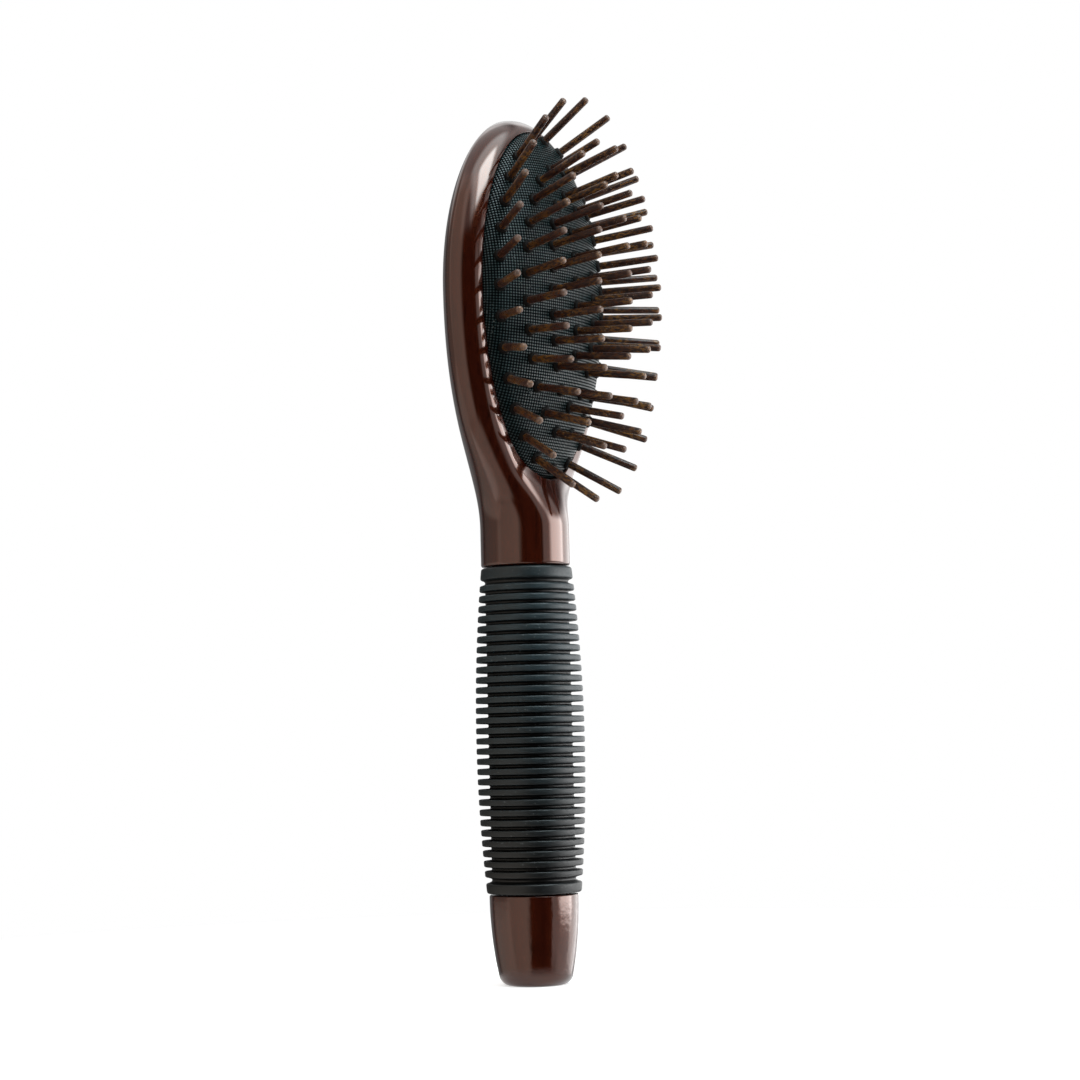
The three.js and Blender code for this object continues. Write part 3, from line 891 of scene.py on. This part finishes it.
def cushion_mesh():
    bm = bmesh.new()
    bmesh.ops.create_grid(bm, x_segments=GRID_ACROSS, y_segments=GRID_ALONG, size=1.0)
    weave = bm.loops.layers.uv.new("weave")
    weave_at = {}
    for vert in bm.verts:
        u, v = vert.co.x, vert.co.y
        across, along = u * math.sqrt(1.0 - v * v / 2.0), v * math.sqrt(1.0 - u * u / 2.0)
        scale = min(math.hypot(across, along), 1.0)
        reach = CUSHION_UP if along > 0 else CUSHION_DOWN
        x, dz = across * CUSHION_HALF_WIDTH, along * reach
        length = math.hypot(x, dz)
        stretch = surface_reach(scale, length / scale) / length if length > 1e-6 else 1.0
        weave_at[vert.index] = (x * stretch / THREAD_PITCH, dz * stretch / THREAD_PITCH)
        vert.co = (x, float(dome_depth(scale)), HEAD_MIDDLE + dz)
    for face in bm.faces:
        for loop in face.loops:
            loop[weave].uv = weave_at[loop.vert.index]
    rim = [e for e in bm.edges if e.is_boundary]
    fold = bmesh.ops.extrude_edge_only(bm, edges=rim)["geom"]
    folded = [g for g in fold if isinstance(g, bmesh.types.BMVert)]
    bmesh.ops.translate(bm, vec=(0.0, RIM_FOLD, 0.0), verts=folded)
    bmesh.ops.holes_fill(bm, edges=[e for e in bm.edges if e.is_boundary], sides=0)
    bmesh.ops.recalc_face_normals(bm, faces=bm.faces)
    return bm


cushion = keep_piece("woven_cushion", cushion_mesh(), woven_face, "brush", ["cushion"])
print("cushion:", len(cushion.data.polygons), "faces")

# %% [markdown]
# Wood of the pins, rubber of the collars
#
# The pins are open-grained brown wood with amber flecks, hardly polished; the collars are near-black
# rubber, partly their own colour and partly painted shade at the pins' roots. Object coordinates would
# run the streaks up the brush, so every copy of a pin carries its own place in the wood as an attribute
# instead: the streaks run along each pin and no two pins match. A second attribute says how far up the
# pin a point is, because the tips are painted paler, partly as wear and partly as a painted highlight.

# %% Pin wood finish
# the paler tips are partly wear and partly a painted highlight
PALE_TIP_FROM, PALE_TIP_BY = 0.925, 0.99
PALE_TIP_AMOUNT = 0.20


def pin_wood_finish():
    material, tree = empty_material("pin_wood")
    own_place = add_node(tree, "ShaderNodeAttribute", attribute_name="pin_place").outputs["Vector"]
    height = add_node(tree, "ShaderNodeAttribute", attribute_name="up_the_pin").outputs["Fac"]
    wood = use_group(tree, wood_streaks, {"Place": own_place, "Fineness": 2100.0, "Stretch": 0.42})
    dust = use_group(tree, fine_dust, {"Place": own_place, "Fineness": 3600.0, "Amount": 0.7})
    amber = map_range(tree, noise(tree, own_place, scale=150.0, detail=1.0), 0.42, 0.66)
    light = blend_colours(tree, amber, (0.072, 0.025, 0.011), (0.215, 0.096, 0.023))
    flecks = map_range(tree, wood["Streaks"], 0.34, 0.92)
    brown = blend_colours(tree, flecks, (0.014, 0.0042, 0.0034), light)
    brown = blend_colours(tree, wood["Pores"], brown, (0.014, 0.0060, 0.0042))
    # painted highlight and wear: the colour turns paler towards each pin's tip
    worn_and_lit_tip = map_range(tree, height, PALE_TIP_FROM, PALE_TIP_BY, smooth=True)
    pale = math_node(tree, "MULTIPLY", worn_and_lit_tip, PALE_TIP_AMOUNT)
    brown = blend_colours(tree, pale, brown, (0.320, 0.205, 0.155))
    brown = blend_colours(tree, dust["Specks"], brown, (0.36, 0.29, 0.22))
    close_finish(tree, {
        "Base Color": brown,
        "Roughness": map_range(tree, wood["Streaks"], first=0.36, last=0.24),
        "Specular IOR Level": 0.30,
        "Normal": bump(tree, wood["Streaks"], strength=0.4, distance=0.0001),
    })
    return material


pin_wood = pin_wood_finish()
print("finish:", pin_wood.name)

# %% Collar rubber finish
def collar_rubber_finish():
    material, tree = empty_material("collar_rubber")
    own_place = add_node(tree, "ShaderNodeAttribute", attribute_name="pin_place").outputs["Vector"]
    dust = use_group(tree, fine_dust, {"Place": own_place, "Fineness": 3000.0, "Amount": 0.5})
    # near-black: partly the rubber's own colour, partly painted shade at the pins' roots
    brown = blend_colours(tree, dust["Grain"], (0.0022, 0.0018, 0.0017), (0.0060, 0.0048, 0.0043))
    brown = blend_colours(tree, dust["Specks"], brown, (0.24, 0.20, 0.17))
    close_finish(tree, {
        "Base Color": brown,
        "Roughness": map_range(tree, dust["Grain"], first=0.50, last=0.65),
        "Specular IOR Level": 0.1,
        "Normal": bump(tree, dust["Grain"], strength=0.2, distance=0.00006),
    })
    return material


collar_rubber = collar_rubber_finish()
print("finish:", collar_rubber.name)

# %% [markdown]
# Pins and their collars
#
# Each pin is a turned wooden peg with a slight taper and a rounded tip, standing square to the dome.
# Where it comes through, the rubber is pinched up into a small smooth collar. One pin and one collar
# are spun once and then copied to their places. The inner pins are pieces of their own, because each
# one rocks in the rubber; the outer oval and the collars stay with the cushion. An array modifier
# could repeat a pin, but not at a slant of its own at each place on a dome.

# %% One pin and one collar, in millimetres
PIN_LENGTH = 16.3
PIN_RADIUS = 0.97
PIN_TIP_RADIUS = 0.92
PIN_TIP_HEIGHT = 0.68
PIN_TIP_POWER = 0.8
PIN_ROOT = -1.4
PIN_FOOT = 0.6
PIN_TAPER_FROM = 5.0
PIN_STEPS = 18
COLLAR_OUTLINE = [(1.75, -0.35), (1.62, 0.10), (1.52, 0.45), (1.40, 0.68), (1.22, 0.80), (0.94, 0.82)]


def pin_outline():
    shoulder = PIN_LENGTH - PIN_TIP_HEIGHT
    outline = [(0.0, PIN_ROOT)]
    outline += [(PIN_RADIUS, z) for z in (PIN_ROOT, PIN_FOOT, PIN_TAPER_FROM)]
    outline.append((PIN_TIP_RADIUS, shoulder))
    outline += [
        (PIN_TIP_RADIUS * math.cos(a) ** PIN_TIP_POWER, shoulder + PIN_TIP_HEIGHT * math.sin(a))
        for a in np.linspace(0.0, math.pi / 2, 7)[1:]
    ]
    return outline


def template_mesh(name, outline):
    bm = spun(outline, PIN_STEPS)
    mesh = bpy.data.meshes.new(name)
    bm.to_mesh(mesh)
    bm.free()
    return mesh


one_pin = template_mesh("one_pin", pin_outline())
one_collar = template_mesh("one_collar", COLLAR_OUTLINE)
print("one pin:", len(one_pin.polygons), "faces; one collar:", len(one_collar.polygons), "faces")

# %% Places of the pins
# half width of the oval, distance from the cushion's ends, pins in each half, shift along the oval
PIN_OVALS = {
    "outer": (24.4, 2.4, 14, 0.0),
    "second": (17.9, 10.5, 12, 0.5),
    "third": (9.8, 17.7, 10, 0.0),
}
MIDDLE_COUNT = 6
MIDDLE_PITCH = 6.3
OVAL_STEPS = 2001


def oval_places(half_width, inset, per_half, shift):
    places = []
    for side, reach in ((1.0, CUSHION_UP - inset), (-1.0, CUSHION_DOWN - inset)):
        swing = np.linspace(0.0, math.pi, OVAL_STEPS)
        line = np.stack([side * half_width * np.cos(swing), side * reach * np.sin(swing)], axis=1)
        travelled = np.concatenate([[0.0], np.cumsum(np.hypot(*np.diff(line, axis=0).T))])
        for i in range(per_half):
            stop = (i + shift) / per_half * travelled[-1]
            places.append(tuple(float(np.interp(stop, travelled, line[:, k])) for k in (0, 1)))
    return places


pin_places = {name: oval_places(*sizes) for name, sizes in PIN_OVALS.items()}
pin_places["middle"] = [(0.0, (i - (MIDDLE_COUNT - 1) / 2) * MIDDLE_PITCH) for i in range(MIDDLE_COUNT)]
print("pins:", {name: len(places) for name, places in pin_places.items()})

# %% Root and lean of a pin
def cushion_scale(x, z):
    return np.hypot(x / CUSHION_HALF_WIDTH, (z - HEAD_MIDDLE) / cushion_reach(z))


def dome_point(x, dz):
    z = HEAD_MIDDLE + dz
    return np.array([x, float(dome_depth(cushion_scale(x, z))), z])


def dome_normal(x, dz):
    reach = CUSHION_UP if dz > 0 else CUSHION_DOWN
    scale = math.hypot(x / CUSHION_HALF_WIDTH, dz / reach)
    slope = 2 * DOME_HEIGHT * DOME_POWER * (1.0 - scale**2) ** (DOME_POWER - 1.0)
    return Vector((slope * x / CUSHION_HALF_WIDTH**2, -1.0, slope * dz / reach**2)).normalized()


side_lean = dome_normal(*pin_places["outer"][0]).angle(Vector((0.0, -1.0, 0.0)))
print("a pin at the cushion's side leans out", round(math.degrees(side_lean), 1), "degrees")

# %% Copying to a place
OWN_PLACE_STEP = (0.013, 0.007, 0.031)


def vert_layer(layers, name):
    return layers.get(name) or layers.new(name)


def add_copy(bm, template, spot, number):
    own_place = vert_layer(bm.verts.layers.float_vector, "pin_place")
    height = vert_layer(bm.verts.layers.float, "up_the_pin")
    first = len(bm.verts)
    bm.from_mesh(template)
    bm.verts.ensure_lookup_table()
    fresh = bm.verts[first:]
    offset = Vector([step * number for step in OWN_PLACE_STEP])
    for vert in fresh:
        vert[own_place] = vert.co * MM + offset
        vert[height] = vert.co.z / PIN_LENGTH
    x, dz = spot
    turn = dome_normal(x, dz).to_track_quat("Z", "Y").to_matrix().to_4x4()
    bmesh.ops.transform(bm, matrix=Matrix.Translation(dome_point(x, dz)) @ turn, verts=fresh)


print("ready: vert_layer and add_copy")

# %% Pins that rock
loose_pins = []
for row in ("second", "third", "middle"):
    for i, spot in enumerate(pin_places[row]):
        node = f"pin_{row}_{i + 1:02d}"
        bm = bmesh.new()
        add_copy(bm, one_pin, spot, len(loose_pins) + 1)
        loose_pins.append(keep_piece(f"wooden_{node}", bm, pin_wood, node, [node]))
print("rocking pins:", len(loose_pins))

# %% Outer pins and collars
FIRST_OUTER_NUMBER = 60

bm = bmesh.new()
for i, spot in enumerate(pin_places["outer"]):
    add_copy(bm, one_pin, spot, FIRST_OUTER_NUMBER + i)
outer_pins = keep_piece("wooden_outer_pins", bm, pin_wood, "brush")

bm = bmesh.new()
for i, spot in enumerate(spot for places in pin_places.values() for spot in places):
    add_copy(bm, one_collar, spot, i)
pin_collars = keep_piece("pin_collars", bm, collar_rubber, "brush")
print("outer pins:", len(outer_pins.data.polygons), "faces")
print("collars:", len(pin_collars.data.polygons), "faces")

# %% [markdown]
# Dropping the patterns
#
# The one pin and the one collar were only patterns, so they go.

# %% Dropping the patterns
bpy.data.meshes.remove(one_pin)
bpy.data.meshes.remove(one_collar)
